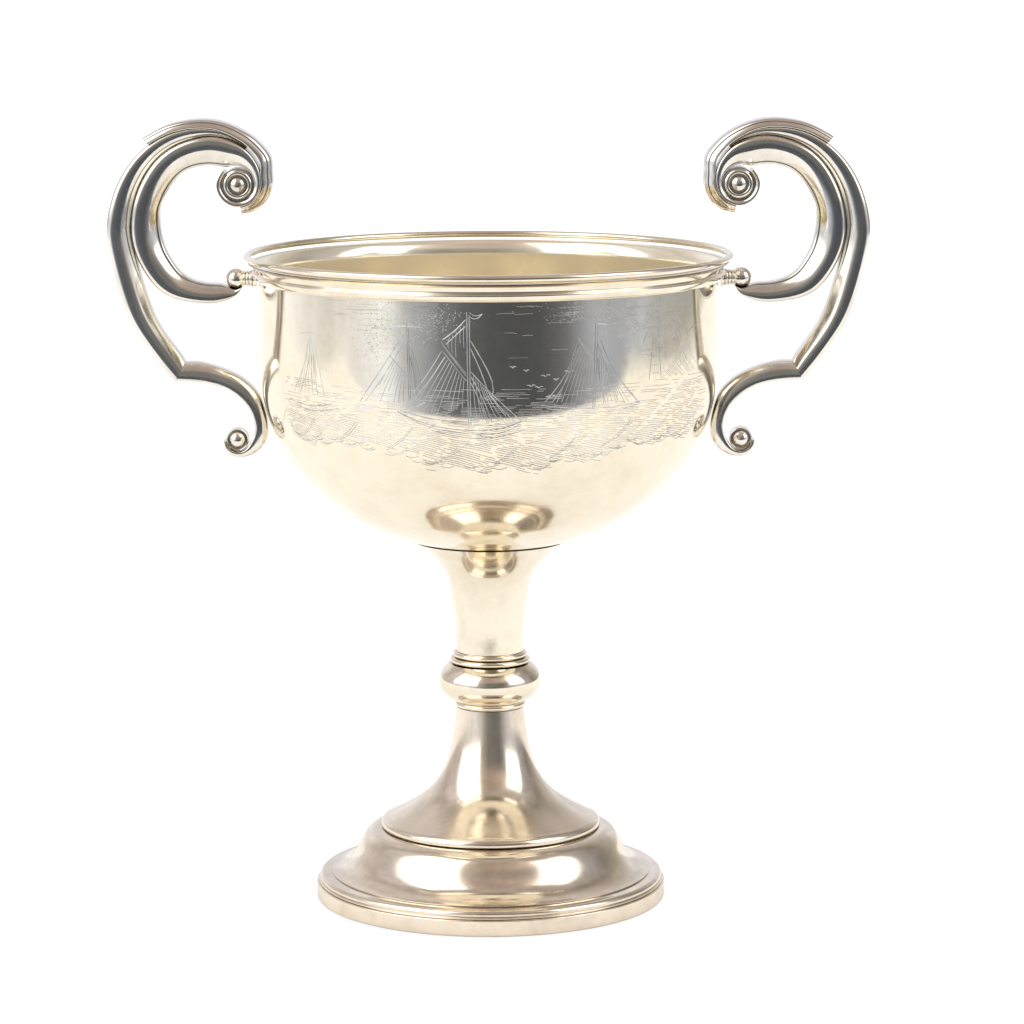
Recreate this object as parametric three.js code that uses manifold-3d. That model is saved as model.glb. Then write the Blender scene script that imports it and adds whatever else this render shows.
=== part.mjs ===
// Two-handled silver presentation cup: a deep bowl on a flared stem, a knop and a stepped foot.
// Units are millimetres and +Z is up. The origin is the middle of the foot, on the table.
// The handles lie along X, and the cup is symmetric about the XZ and YZ planes.

import * as THREE from "three";
import { mergeVertices } from "three/addons/utils/BufferGeometryUtils.js";
import Module from "manifold-3d";

const wasm = await Module();
wasm.setup();

// Driving dimensions.
const solder = 0.3; // seam left between two soldered pieces
const sheet = 1.0; // thickness of the raised sheet
const roundSteps = 40; // facets round the large rings
const stemSteps = 28; // facets round the stem pieces

const footRadius = 53.8;
const bandHeight = 4.7;
const bandDepth = 2.5;
const mouldingHeight = 2.6;
const mouldingStep = 0.5; // the moulding's foot stands back from the band
const mouldingDepth = 4.1;
const domeHeight = 13.8;
const stepRadius = 33.8; // where the trumpet stands on the dome
const seatWidth = 2.3; // flat of the dome under the trumpet

const trumpetHeight = 36.9;
const stemRadius = 10.3;
const collarBore = 8.0; // radius of the hole through every collar and the knop

const lowerCollarHeight = 1.8;
const lowerCollarRadius = 10.9;
const knopHeight = 11.5;
const knopRadius = 15.7;
const knopCentreRise = 6.2; // widest point of the knop above its base
const knopHalfHeight = 8.9; // of the full ellipse that the knop is cut from
const wideCollarHeight = 1.4;
const wideCollarRadius = 12.3;
const narrowCollarHeight = 1.6;
const narrowCollarRadius = 11.4;
const stemFlareRadius = 23.2;
const stemHeight = 34.3; // up to where the flare meets the bowl

const bowlRadius = 69.7;
const bowlDepth = 55.3; // of the half ellipse under the straight wall
const wallHeight = 28.0; // from the ellipse to the foot of the rim band
const bandRise = 5.3; // height of the rim band
const lipFlare = 3.2; // how far the lip turns out
const beadRadius = 1.2;
const rimBandDepth = 2.1; // how far the rim band stands out at its lower roll

const handleDepth = 11.0; // width of the main scroll, front to back
const capDepth = 10.4;
const legDepth = 9.4;
const bossRadius = 4.7;
const bossOverhang = 0.8; // how far each end of the boss stands proud of the cap
const rimBallRadius = 3.0;
const rimNeckRadius = 2.2;
const lowerBallRadius = 3.1;
const lowerContactDrop = 13.1; // handle's lower contact below the straight wall
const lowerContactLift = 0.3; // clearance of the lower scroll from the bowl

// Heights up the axis, each piece standing on the one below.
const mouldingBase = bandHeight + solder;
const domeBase = mouldingBase + mouldingHeight + solder;
const trumpetBase = domeBase + domeHeight + solder;
const lowerCollarBase = trumpetBase + trumpetHeight + solder;
const knopBase = lowerCollarBase + lowerCollarHeight + solder;
const wideCollarBase = knopBase + knopHeight + solder;
const narrowCollarBase = wideCollarBase + wideCollarHeight + solder;
const stemBase = narrowCollarBase + narrowCollarHeight + solder;
const flareTop = stemBase + stemHeight;
const ellipseRiseAtFlare = bowlDepth * Math.sqrt(1 - (stemFlareRadius / bowlRadius) ** 2);
const wallBase = flareTop + solder + ellipseRiseAtFlare;
const rimBandBase = wallBase + wallHeight;
const lipTop = rimBandBase + bandRise;

// The bowl's outer radius at a height on its curved lower part.
function bowlRadiusAt(z) {
  return bowlRadius * Math.sqrt(1 - ((wallBase - z) / bowlDepth) ** 2);
}

// A closed body from a geometry: shared vertices are merged and the faces point outwards.
function solid(geometry) {
  const bare = geometry.clone();
  bare.deleteAttribute("normal");
  bare.deleteAttribute("uv");
  const merged = mergeVertices(bare, 1e-4);
  const position = merged.getAttribute("position");
  const corner = (i) => new THREE.Vector3().fromBufferAttribute(position, i);
  const faces = [];
  let volume = 0;
  for (let i = 0; i < merged.index.count; i += 3) {
    const [a, b, c] = [0, 1, 2].map((k) => merged.index.getX(i + k));
    if (a !== b && b !== c && c !== a) {
      faces.push([a, b, c]);
      volume += corner(a).dot(corner(b).cross(corner(c)));
    }
  }
  merged.setIndex(faces.flatMap(([a, b, c]) => (volume > 0 ? [a, b, c] : [a, c, b])));
  return merged;
}

// A body turned about Z from a closed profile of (radius, height) points.
function turned(profile, steps) {
  const lathe = new THREE.LatheGeometry([...profile, profile[0]], steps);
  return solid(lathe.rotateX(Math.PI / 2));
}

// The same line moved to its left, towards the axis on a wall that is drawn upwards.
function inset(line, distance) {
  return line.map((point, i) => {
    const before = line[Math.max(i - 1, 0)];
    const after = line[Math.min(i + 1, line.length - 1)];
    const along = after.clone().sub(before).normalize();
    const x = point.x > 0 ? point.x - along.y * distance : 0;
    return new THREE.Vector2(x, point.y + along.x * distance);
  });
}

// The inner face of a raised sheet, with half the points of its outer line, flush with its ends.
function innerFace(line) {
  const [low, high] = [line[0].y, line[line.length - 1].y];
  const kept = inset(line, sheet).filter((_, i) => i % 2 === 0 || i === line.length - 1);
  kept.forEach((point) => { point.y = THREE.MathUtils.clamp(point.y, low, high); });
  return kept.reverse();
}

// Raised sheet: a wall of even thickness behind an outer line.
function raised(line, steps) {
  return turned([...line, ...innerFace(line)], steps);
}

// A plain ring with a rounded outer face.
function ring(base, height, radius, bore, steps) {
  const line = new THREE.Path();
  line.moveTo(bore, base);
  line.lineTo(radius - height / 2, base);
  line.absarc(radius - height / 2, base + height / 2, height / 2, -Math.PI / 2, Math.PI / 2);
  line.lineTo(bore, base + height);
  return turned(line.getPoints(2), steps);
}

function footBand() {
  const inner = footRadius - bandDepth;
  const profile = [
    [inner, 0],
    [footRadius, 0],
    [footRadius, bandHeight],
    [inner, bandHeight],
  ];
  return turned(profile.map(([x, y]) => new THREE.Vector2(x, y)), roundSteps);
}

const mouldingRadius = footRadius - mouldingStep;
const domeRadius = mouldingRadius - mouldingDepth;

function footMoulding() {
  const line = new THREE.Path();
  line.moveTo(domeRadius - sheet, mouldingBase);
  line.lineTo(mouldingRadius, mouldingBase);
  line.quadraticCurveTo(
    mouldingRadius - 0.2, mouldingBase + mouldingHeight,
    domeRadius + 0.5, mouldingBase + mouldingHeight,
  );
  line.lineTo(domeRadius - sheet, mouldingBase + mouldingHeight);
  return turned(line.getPoints(3), roundSteps);
}

// The foot's ogee: a cove that sweeps up from the moulding into a round shoulder.
function footDome() {
  const top = domeBase + domeHeight;
  const span = domeRadius - stepRadius;
  const line = new THREE.Path();
  line.moveTo(domeRadius, domeBase);
  line.lineTo(domeRadius, domeBase + 0.4);
  line.bezierCurveTo(
    stepRadius + 0.25 * span, domeBase + 0.2 * domeHeight,
    stepRadius + 0.62 * span, top - 0.08 * domeHeight,
    stepRadius, top,
  );
  line.lineTo(stepRadius - seatWidth, top);
  return raised(line.getPoints(6), roundSteps);
}

function trumpetFoot() {
  const top = trumpetBase + trumpetHeight;
  const run = stepRadius - stemRadius;
  const at = (out, up) => new THREE.Vector2(stemRadius + out * run, trumpetBase + up * trumpetHeight);
  const line = new THREE.Path();
  line.moveTo(stepRadius, trumpetBase);
  line.lineTo(stepRadius, trumpetBase + 0.7);
  line.quadraticCurveTo(stepRadius, trumpetBase + 2.1, stepRadius - 1.8, trumpetBase + 2.8);
  line.splineThru([at(0.58, 0.195), at(0.37, 0.298), at(0.187, 0.453), at(0.05, 0.71), at(0, 0.97)]);
  line.lineTo(stemRadius, top);
  return raised(line.getPoints(2), stemSteps);
}

function lowerCollar() {
  return ring(lowerCollarBase, lowerCollarHeight, lowerCollarRadius, collarBore, stemSteps);
}

// A hollow flattened ball, cut off flat above and below, with a hole through both ends.
function knop() {
  const centre = knopBase + knopCentreRise;
  const top = knopBase + knopHeight;
  const low = -Math.asin((centre - knopBase) / knopHalfHeight);
  const high = Math.asin((top - centre) / knopHalfHeight);
  const outside = new THREE.EllipseCurve(0, centre, knopRadius, knopHalfHeight, low, high);
  const reach = knopHalfHeight - sheet;
  const innerLow = -Math.asin((centre - knopBase - sheet) / reach);
  const innerHigh = Math.asin((top - centre - sheet) / reach);
  const inside = new THREE.EllipseCurve(0, centre, knopRadius - sheet, reach, innerLow, innerHigh);
  const profile = [
    new THREE.Vector2(collarBore, knopBase),
    ...outside.getPoints(6),
    new THREE.Vector2(collarBore, top),
    new THREE.Vector2(collarBore, top - sheet),
    ...inside.getPoints(4).reverse(),
    new THREE.Vector2(collarBore, knopBase + sheet),
  ];
  return turned(profile, stemSteps);
}

function wideCollar() {
  return ring(wideCollarBase, wideCollarHeight, wideCollarRadius, collarBore, stemSteps);
}

function narrowCollar() {
  return ring(narrowCollarBase, narrowCollarHeight, narrowCollarRadius, collarBore, stemSteps);
}

function upperStem() {
  const run = stemFlareRadius - stemRadius;
  const at = (out, up) => new THREE.Vector2(stemRadius + out * run, stemBase + up * stemHeight);
  const line = new THREE.Path();
  line.moveTo(stemRadius, stemBase);
  line.lineTo(stemRadius, stemBase + 0.09 * stemHeight);
  line.splineThru([at(0.02, 0.3), at(0.1, 0.5), at(0.256, 0.717), at(0.48, 0.83), at(0.713, 0.915)]);
  line.lineTo(stemFlareRadius, flareTop);
  return raised(line.getPoints(2), stemSteps);
}

// The bowl's outer line, from the middle of its base up to the turned-out lip.
function bowlLine() {
  const line = new THREE.Path();
  line.absellipse(0, wallBase, bowlRadius, bowlDepth, -Math.PI / 2, 0);
  line.lineTo(bowlRadius, rimBandBase + 1);
  line.quadraticCurveTo(bowlRadius, lipTop - 1.2, bowlRadius + lipFlare - 0.6, lipTop);
  const points = line.getPoints(4);
  points[0].x = 0;
  return points;
}

function bowl() {
  const outer = bowlLine();
  const inner = inset(outer, sheet).reverse();
  return turned([...outer, ...inner], roundSteps);
}

const beadCentreRadius = bowlRadius + lipFlare;
const beadCentreHeight = lipTop + beadRadius + 0.5;

function rimBead() {
  const line = new THREE.EllipseCurve(beadCentreRadius, beadCentreHeight, beadRadius, beadRadius);
  return turned(line.getPoints(6).slice(0, -1), roundSteps);
}

// The applied rim moulding: a round roll below and a cove above, seated on the bowl's wall.
function rimBandProfile(grow) {
  const back = bowlRadius + solder - grow;
  const roll = bowlRadius + rimBandDepth + grow;
  const line = new THREE.Path();
  line.moveTo(back, rimBandBase - grow);
  line.lineTo(bowlRadius + 0.9 + grow, rimBandBase - grow);
  line.quadraticCurveTo(roll + 0.7, rimBandBase + 1.2, roll - 0.7, rimBandBase + 2.6);
  line.quadraticCurveTo(roll - 0.9, rimBandBase + 4.2, roll + 1.2, lipTop - 0.3 + grow);
  return line.getPoints(3);
}

function rimBand() {
  const seat = inset(bowlLine(), -solder);
  const inside = seat.filter((point) => point.y > rimBandBase + 0.5 && point.y < lipTop - 0.8);
  return turned([...rimBandProfile(0), ...inside.reverse()], roundSteps);
}

// Handles. Outline points are (out, up) from one of two anchors: the upper ones from the rim
// band's face, and the lower ones from the point where the lower scroll meets the bowl.
const rimAnchor = new THREE.Vector2(bowlRadius + rimBandDepth, rimBandBase);
const contactHeight = wallBase - lowerContactDrop;
const bowlAnchor = new THREE.Vector2(bowlRadiusAt(contactHeight) + lowerContactLift, contactHeight);

const spline = (anchor, points) =>
  new THREE.SplineCurve(points.map(([out, up]) => new THREE.Vector2(anchor.x + out, anchor.y + up)));

// Outer ridge and inner edge of the main scroll, from its tip under the rim ball, round the
// outside and over the top, and once round the boss. Points are paired across the scroll.
const ridge = spline(rimAnchor, [
  [2.8, -2.1], [4.8, -4.9], [8.7, -6.6], [13.7, -7.2], [23.0, -5.8], [29.9, -1.1], [34.8, 7.5],
  [36.2, 16.7], [34.1, 26.8], [28.6, 36.0], [20.9, 41.4], [12.3, 43.4], [5.7, 42.2],
  [1.2, 39.6], [-2.0, 35.5], [-3.2, 31.0], [-2.5, 26.5], [0.0, 23.5], [3.7, 22.2],
  [7.4, 23.5], [9.7, 26.6], [9.9, 30.1], [8.15, 33.2],
]);
const hollow = spline(rimAnchor, [
  [3.5, -2.6], [5.6, -2.9], [8.8, -1.5], [13.6, -1.1], [20.0, 1.1], [23.8, 5.4], [26.4, 10.8],
  [27.5, 18.0], [26.5, 23.7], [22.8, 29.9], [18.3, 33.4], [12.4, 34.5], [7.4, 34.1],
  [3.4, 34.5], [0.2, 32.8], [-1.3, 29.8], [-1.1, 27.1], [0.5, 24.7], [3.7, 23.7],
  [6.6, 24.6], [8.45, 27.1], [8.65, 29.85], [7.3, 32.4],
]);
const bossCentre = new THREE.Vector2(rimAnchor.x + 3.7, rimAnchor.y + 28.8);
const rimBallCentre = new THREE.Vector2(rimAnchor.x + 5.4, rimAnchor.y + 0.7);

// A line kept at a distance outside the ridge, between two places along it.
function outsideRidge(from, to, count, distance) {
  return Array.from({ length: count }, (_, i) => {
    const t = THREE.MathUtils.lerp(from, to, i / (count - 1));
    const point = ridge.getPoint(t);
    const along = ridge.getTangent(t);
    const away = distance(i / (count - 1));
    return new THREE.Vector2(point.x + along.y * away, point.y - along.x * away);
  });
}

// A bar between two paired outlines in the XZ plane. Its section is a rounded oblong, and
// depth gives its width, front to back, at each place from 0 to 1 along it.
function bar(outer, inner, steps, sides, depth) {
  const geometry = new THREE.CylinderGeometry(1, 1, 1, sides, steps);
  const position = geometry.getAttribute("position");
  for (let i = 0; i < position.count; i += 1) {
    const t = THREE.MathUtils.clamp(position.getY(i) + 0.5, 0, 1);
    const across = (position.getX(i) + 1) / 2;
    const point = inner.getPoint(t).lerp(outer.getPoint(t), across);
    position.setXYZ(i, point.x, (position.getZ(i) * depth(t)) / 2, point.y);
  }
  return solid(geometry);
}

function mainScroll() {
  return bar(ridge, hollow, 46, 10, (t) => handleDepth * Math.min(1, 0.65 + t));
}

// Where the leg and the cap lie along the ridge, as shares of its length in points.
const legFrom = 13 / 22;
const legTo = 6.3 / 22;
const legThickness = (s) => 0.6 + 6.6 * THREE.MathUtils.smoothstep(s, 0, 1);

// The leg lies along the outside of the main scroll, leaves it, and runs down to the mitre.
const legInnerTop = outsideRidge(legFrom, legTo, 9, () => solder);
const legOuterTop = outsideRidge(legFrom, legTo, 9, (s) => solder + legThickness(s));
const onBowl = (out, up) => new THREE.Vector2(bowlAnchor.x + out, bowlAnchor.y + up);
const legInner = new THREE.SplineCurve([
  ...legInnerTop, onBowl(35.3, 35.3), onBowl(30.9, 25.5), onBowl(26.6, 19.5), onBowl(24.3, 15.9),
]);
const legOuter = new THREE.SplineCurve([
  ...legOuterTop, onBowl(42.3, 32.9), onBowl(37.0, 22.8), onBowl(31.9, 15.7), onBowl(27.4, 10.3),
]);

function leg() {
  return bar(legOuter, legInner, 20, 8, (t) => legDepth * Math.min(1, 0.5 + 2 * t));
}

// The cap runs from the cut spur, over the leg and the top of the scroll, and round the volute.
const capFrom = 9.2 / 22;
const capTo = 17.8 / 22;
const capSteps = 15;
const legTipRoom = 0.2; // the cap stays clear of the leg's tip for this share of the leg's top
const legUnderCap = (s) => {
  const t = THREE.MathUtils.lerp(capFrom, capTo, s);
  const along = (legFrom - t) / (legFrom - legTo);
  return along > -legTipRoom ? solder + legThickness(Math.max(along, 0)) : 0;
};
const capThickness = (s) => 2.3 + 1.3 * Math.sin(Math.PI * s ** 1.8) - 0.3 * s;
const capInner = new THREE.SplineCurve(
  outsideRidge(capFrom, capTo, capSteps, (s) => solder + legUnderCap(s)),
);
const capOuter = new THREE.SplineCurve(
  outsideRidge(capFrom, capTo, capSteps, (s) => solder + legUnderCap(s) + capThickness(s)),
);

function cap() {
  return bar(capOuter, capInner, 20, 6, () => capDepth);
}

// A domed button through the eye of the volute, proud on both sides.
function voluteBoss() {
  const half = handleDepth / 2 + bossOverhang;
  const line = new THREE.Path();
  line.moveTo(0, -half);
  line.quadraticCurveTo(0.6 * bossRadius, -half, bossRadius, -half + 1.6);
  line.lineTo(bossRadius, half - 1.6);
  line.quadraticCurveTo(0.6 * bossRadius, half, 0, half);
  const lathe = new THREE.LatheGeometry(line.getPoints(2), 14);
  return solid(lathe.translate(bossCentre.x, 0, bossCentre.y));
}

function ball(centre, radius) {
  const sphere = new THREE.SphereGeometry(radius, 10, 7);
  return solid(sphere.translate(centre.x, 0, centre.y));
}

// The S-shaped lower scroll, from the mitre past the bowl and round under the lower ball.
// Its first points lie along the mitre, one seam away from the leg.
const lowerBack = spline(bowlAnchor, [
  [23.9, 15.6], [19.0, 15.7], [10.6, 13.0], [5.0, 9.4], [1.9, 5.6], [0.0, 0.0], [-0.7, -5.5],
  [0.8, -9.9], [4.6, -12.6], [9.0, -13.2], [12.3, -11.2], [12.9, -8.3],
]);
const lowerFront = spline(bowlAnchor, [
  [26.8, 9.8], [20.1, 9.9], [13.1, 8.3], [8.0, 5.1], [4.8, 1.3], [3.4, -2.4], [3.3, -5.6],
  [5.0, -9.1], [6.7, -11.1], [9.2, -11.6], [11.2, -10.3], [12.1, -8.3],
]);
const lowerBallCentre = new THREE.Vector2(bowlAnchor.x + 8.7, bowlAnchor.y - 7.9);

function lowerScroll() {
  return bar(lowerBack, lowerFront, 24, 8, (t) => legDepth * (1 - 0.3 * t));
}

function manifold(geometry) {
  return new wasm.Manifold(new wasm.Mesh({
    numProp: 3,
    vertProperties: new Float32Array(geometry.getAttribute("position").array),
    triVerts: new Uint32Array(geometry.index.array),
  }));
}

function fromManifold(body) {
  const { vertProperties, triVerts } = body.getMesh();
  const geometry = new THREE.BufferGeometry();
  geometry.setAttribute("position", new THREE.BufferAttribute(vertProperties, 3));
  geometry.setIndex(new THREE.BufferAttribute(triVerts, 1));
  return geometry;
}

// A short neck from the rim band to the rim ball, cut to fit both.
function rimNeck() {
  const from = bowlRadius;
  const length = rimBallCentre.x - from;
  const rod = new THREE.CylinderGeometry(rimNeckRadius, rimNeckRadius, length, 10);
  rod.rotateZ(Math.PI / 2).translate(from + length / 2, 0, rimBallCentre.y);
  const wall = bowlRadius + solder;
  const core = [new THREE.Vector2(0, rimBandBase - 10), new THREE.Vector2(wall, rimBandBase - 10)];
  const far = [new THREE.Vector2(bowlRadius, lipTop), new THREE.Vector2(0, lipTop)];
  const rimCutter = turned([...core, ...rimBandProfile(solder).slice(1), ...far], roundSteps);
  const ballCutter = ball(rimBallCentre, rimBallRadius + solder);
  const neck = manifold(solid(rod)).subtract(manifold(rimCutter)).subtract(manifold(ballCutter));
  return fromManifold(neck);
}

const silver = { color: 0xcfc8ba, roughness: 0.14, metalness: 1 };
const gilt = { color: 0xd2b377, roughness: 0.2, metalness: 1 };

function part(name, geometry, finish) {
  const mesh = new THREE.Mesh(geometry, new THREE.MeshStandardMaterial(finish));
  mesh.name = name;
  return mesh;
}

// Both handles are the same casting: the left one is the right one turned half round.
function handle(side, angle) {
  const group = new THREE.Group();
  group.add(
    part(`${side}_main_scroll`, mainScroll(), silver),
    part(`${side}_leg`, leg(), silver),
    part(`${side}_cap`, cap(), silver),
    part(`${side}_volute_boss`, voluteBoss(), silver),
    part(`${side}_rim_ball`, ball(rimBallCentre, rimBallRadius), silver),
    part(`${side}_rim_neck`, rimNeck(), silver),
    part(`${side}_lower_scroll`, lowerScroll(), silver),
    part(`${side}_lower_ball`, ball(lowerBallCentre, lowerBallRadius), silver),
  );
  group.rotation.z = angle;
  return group;
}

const cup = new THREE.Group();
cup.add(
  part("foot_band", footBand(), silver),
  part("foot_moulding", footMoulding(), silver),
  part("foot_dome", footDome(), silver),
  part("trumpet_foot", trumpetFoot(), silver),
  part("lower_collar", lowerCollar(), silver),
  part("knop", knop(), silver),
  part("wide_collar", wideCollar(), silver),
  part("narrow_collar", narrowCollar(), silver),
  part("upper_stem", upperStem(), silver),
  part("bowl", bowl(), gilt),
  part("rim_band", rimBand(), silver),
  part("rim_bead", rimBead(), silver),
  handle("right", 0),
  handle("left", Math.PI),
);

export default cup;
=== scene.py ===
# A tall silver presentation cup: a deep engraved bowl with two scrolled handles, on a knopped
# stem and a stepped round foot. Sizes are in millimetres and become metres as a piece is drawn.
import math
import random

import bpy
import numpy as np
from mathutils import Matrix, Vector


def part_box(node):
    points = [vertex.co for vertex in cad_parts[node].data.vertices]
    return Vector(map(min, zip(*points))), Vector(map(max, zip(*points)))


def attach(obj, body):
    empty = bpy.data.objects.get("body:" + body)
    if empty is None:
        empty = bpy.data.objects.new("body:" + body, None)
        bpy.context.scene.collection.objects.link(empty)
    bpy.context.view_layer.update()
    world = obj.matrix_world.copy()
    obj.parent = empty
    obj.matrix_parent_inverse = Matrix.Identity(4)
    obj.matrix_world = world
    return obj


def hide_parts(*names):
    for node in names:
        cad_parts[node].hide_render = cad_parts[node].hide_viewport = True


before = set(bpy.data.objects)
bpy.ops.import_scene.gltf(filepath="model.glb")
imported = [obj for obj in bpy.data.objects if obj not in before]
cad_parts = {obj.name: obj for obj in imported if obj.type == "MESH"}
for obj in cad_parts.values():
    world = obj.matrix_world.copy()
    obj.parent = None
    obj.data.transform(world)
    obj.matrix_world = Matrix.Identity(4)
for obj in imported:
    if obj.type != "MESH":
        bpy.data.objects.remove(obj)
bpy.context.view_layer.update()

# The camera stands in front of the cup, a little above its rim, with a long portrait lens. It
# looks slightly down, and is a hair off level.
camera_data = bpy.data.cameras.new("camera")
camera_data.lens = 140.3
camera_data.sensor_width = 36
camera = bpy.data.objects.new("camera", camera_data)
camera_place = (0.0069, -1.207, 0.3114)
camera_tilt, camera_roll = math.radians(80.97), math.radians(-0.16)
camera.matrix_world = (
    Matrix.Translation(camera_place)
    @ Matrix.Rotation(camera_tilt, 4, "X")
    @ Matrix.Rotation(camera_roll, 4, "Z")
)
bpy.context.scene.collection.objects.link(camera)
bpy.context.scene.camera = camera
bpy.context.scene.view_settings.view_transform = "Standard"

# The studio, as the polished silver shows it: a wide soft window high on each side, warm walls
# and ceiling, clutter beyond the table, and a dark space in front behind the camera. Anything
# matt is lit evenly from all round.
world = bpy.data.worlds.new("studio")
bpy.context.scene.world = world
world.use_nodes = True
room = world.node_tree
room.nodes.clear()


def wire(tree, kind, *inputs, **settings):
    """Add a node to a tree, link or set its inputs in order, and give its first output."""
    node = tree.nodes.new(kind)
    for setting, value in settings.items():
        setattr(node, setting, value)
    for socket, value in zip(node.inputs, inputs):
        if isinstance(value, bpy.types.NodeSocket):
            tree.links.new(value, socket)
        elif value is not None:
            socket.default_value = value
    return node.outputs[0]


def lay_over(tree, share, below, above):
    """Mix one colour over another by a share: each is a socket, or red, green and blue."""
    mix = tree.nodes.new("ShaderNodeMix")
    mix.data_type = "RGBA"
    tree.links.new(share, mix.inputs[0])
    for socket, colour in ((mix.inputs[6], below), (mix.inputs[7], above)):
        if isinstance(colour, bpy.types.NodeSocket):
            tree.links.new(colour, socket)
        else:
            socket.default_value = (*colour, 1)
    return mix.outputs[2]


look = wire(room, "ShaderNodeTexCoord")
direction = room.nodes.new("ShaderNodeSeparateXYZ")
room.links.new(look, direction.inputs[0])
to_right, to_back, upwards = direction.outputs
to_front = wire(room, "ShaderNodeMath", to_back, -1.0, operation="MULTIPLY")
azimuth = wire(room, "ShaderNodeMath", to_right, to_front, operation="ARCTAN2")
azimuth = wire(room, "ShaderNodeMath", azimuth, operation="DEGREES")
elevation = wire(room, "ShaderNodeMath", upwards, operation="ARCSINE")
elevation = wire(room, "ShaderNodeMath", elevation, operation="DEGREES")
round_room = wire(room, "ShaderNodeMapRange", azimuth, -180.0, 180.0, 0.0, 1.0)


def walls(*stops):
    """The walls at one height: a colour at each azimuth in degrees, all the way round."""
    ramp = room.nodes.new("ShaderNodeValToRGB")
    room.links.new(round_room, ramp.inputs[0])
    marks = ramp.color_ramp.elements
    marks[0].color = (*stops[0][1], 1)
    marks[1].color = (*stops[-1][1], 1)
    for degrees, colour in stops[1:-1]:
        marks.new((degrees + 180) / 360).color = (*colour, 1)
    return ramp.outputs[0]


def beyond(angle, limit, soft):
    """0 below a limit in degrees and 1 above it, with a soft edge."""
    return wire(
        room, "ShaderNodeMapRange", angle, limit - soft, limit + soft, 0.0, 1.0,
        interpolation_type="SMOOTHSTEP",
    )


def panel(left, right, bottom, top, soft):
    """1 inside a rectangle of azimuth and elevation, and 0 outside it."""
    sides = wire(
        room, "ShaderNodeMath", beyond(azimuth, left, soft), beyond(azimuth, right, soft),
        operation="SUBTRACT",
    )
    height = wire(
        room, "ShaderNodeMath", beyond(elevation, bottom, soft), beyond(elevation, top, soft),
        operation="SUBTRACT",
    )
    return wire(room, "ShaderNodeMath", sides, height, operation="MULTIPLY")


near_floor = walls(
    (-180, (0.9, 0.91, 0.96)), (-120, (0.93, 0.94, 1.0)), (-88, (0.78, 0.8, 0.84)),
    (-72, (0.85, 0.87, 0.93)), (-55, (0.97, 1.02, 1.12)), (-38, (0.5, 0.55, 0.66)),
    (-23, (0.17, 0.19, 0.23)), (-8, (0.095, 0.108, 0.13)), (25, (0.07, 0.078, 0.092)),
    (39, (0.14, 0.15, 0.18)), (54, (0.42, 0.46, 0.58)), (75, (0.46, 0.51, 0.62)),
    (105, (0.4, 0.41, 0.43)), (150, (0.52, 0.52, 0.53)), (180, (0.9, 0.91, 0.96)),
)
head_height = walls(
    (-180, (0.84, 0.85, 0.93)), (-152, (0.88, 0.86, 0.88)), (-122, (0.55, 0.49, 0.47)),
    (-98, (0.66, 0.64, 0.67)), (-40, (0.8, 0.81, 0.86)), (-22, (0.42, 0.42, 0.4)),
    (-4, (0.18, 0.18, 0.175)), (28, (0.17, 0.165, 0.16)), (46, (0.42, 0.41, 0.44)),
    (68, (0.68, 0.71, 0.78)), (90, (0.42, 0.42, 0.47)), (115, (0.28, 0.27, 0.26)),
    (135, (0.44, 0.41, 0.36)), (160, (0.76, 0.75, 0.78)), (180, (0.84, 0.85, 0.93)),
)
up_high = walls(
    (-180, (0.72, 0.68, 0.68)), (-125, (0.54, 0.5, 0.49)), (-98, (0.75, 0.72, 0.76)),
    (-35, (0.9, 0.84, 0.78)), (-18, (0.54, 0.46, 0.41)), (4, (0.44, 0.35, 0.31)),
    (24, (0.49, 0.4, 0.36)), (42, (0.68, 0.6, 0.53)), (90, (0.5, 0.47, 0.48)),
    (125, (0.31, 0.28, 0.26)), (152, (0.52, 0.47, 0.45)), (180, (0.72, 0.68, 0.68)),
)
ceiling, window_light, even_light = (0.47, 0.41, 0.385), (2.2, 2.2, 2.2), (1.17, 1.16, 1.15)
seen = lay_over(room, beyond(elevation, -3, 2.5), near_floor, head_height)
seen = lay_over(room, beyond(elevation, 27, 12), seen, up_high)
seen = lay_over(room, beyond(elevation, 58, 9), seen, ceiling)
clutter = wire(room, "ShaderNodeTexNoise", look, None, 3.2, 4.0, 0.6)
clutter = wire(room, "ShaderNodeMapRange", clutter, 0.3, 0.7, 0.78, 1.2)
seen = wire(room, "ShaderNodeVectorMath", seen, clutter, operation="MULTIPLY")
seen = lay_over(room, panel(-90, -30, 6, 63, 4), seen, window_light)
seen = lay_over(room, panel(46, 85, 9, 49, 4), seen, window_light)
ray = room.nodes.new("ShaderNodeLightPath")
light = lay_over(room, ray.outputs["Is Glossy Ray"], even_light, seen)
background = wire(room, "ShaderNodeBackground", light)
world_out = room.nodes.new("ShaderNodeOutputWorld")
room.links.new(background, world_out.inputs["Surface"])

# The table top: plain, pale and matt, ending a short way in front of the cup. It glows a little
# towards the lens, so that it meets the white beyond it without an edge.
bpy.ops.object.select_all(action="DESELECT")
bpy.ops.mesh.primitive_plane_add(size=1)
table = bpy.context.object
table.name = "table_top"
bpy.ops.object.mode_set(mode="EDIT")
bpy.ops.mesh.select_all(action="SELECT")
table_wide, table_deep, table_middle = 2.75, 2.43, (-0.02, 0.785, -0.0002)
bpy.ops.transform.resize(value=(table_wide, table_deep, 1))
bpy.ops.transform.translate(value=table_middle)
bpy.ops.object.mode_set(mode="OBJECT")
pale = bpy.data.materials.new("pale_table")
pale.use_nodes = True
paint = pale.node_tree
paint.nodes.clear()
matt = wire(paint, "ShaderNodeBsdfDiffuse", (0.96, 0.95, 0.94, 1))
glow = wire(paint, "ShaderNodeEmission", (1, 1, 1, 1), 1.04)
to_lens = paint.nodes.new("ShaderNodeLightPath").outputs["Is Camera Ray"]
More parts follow.
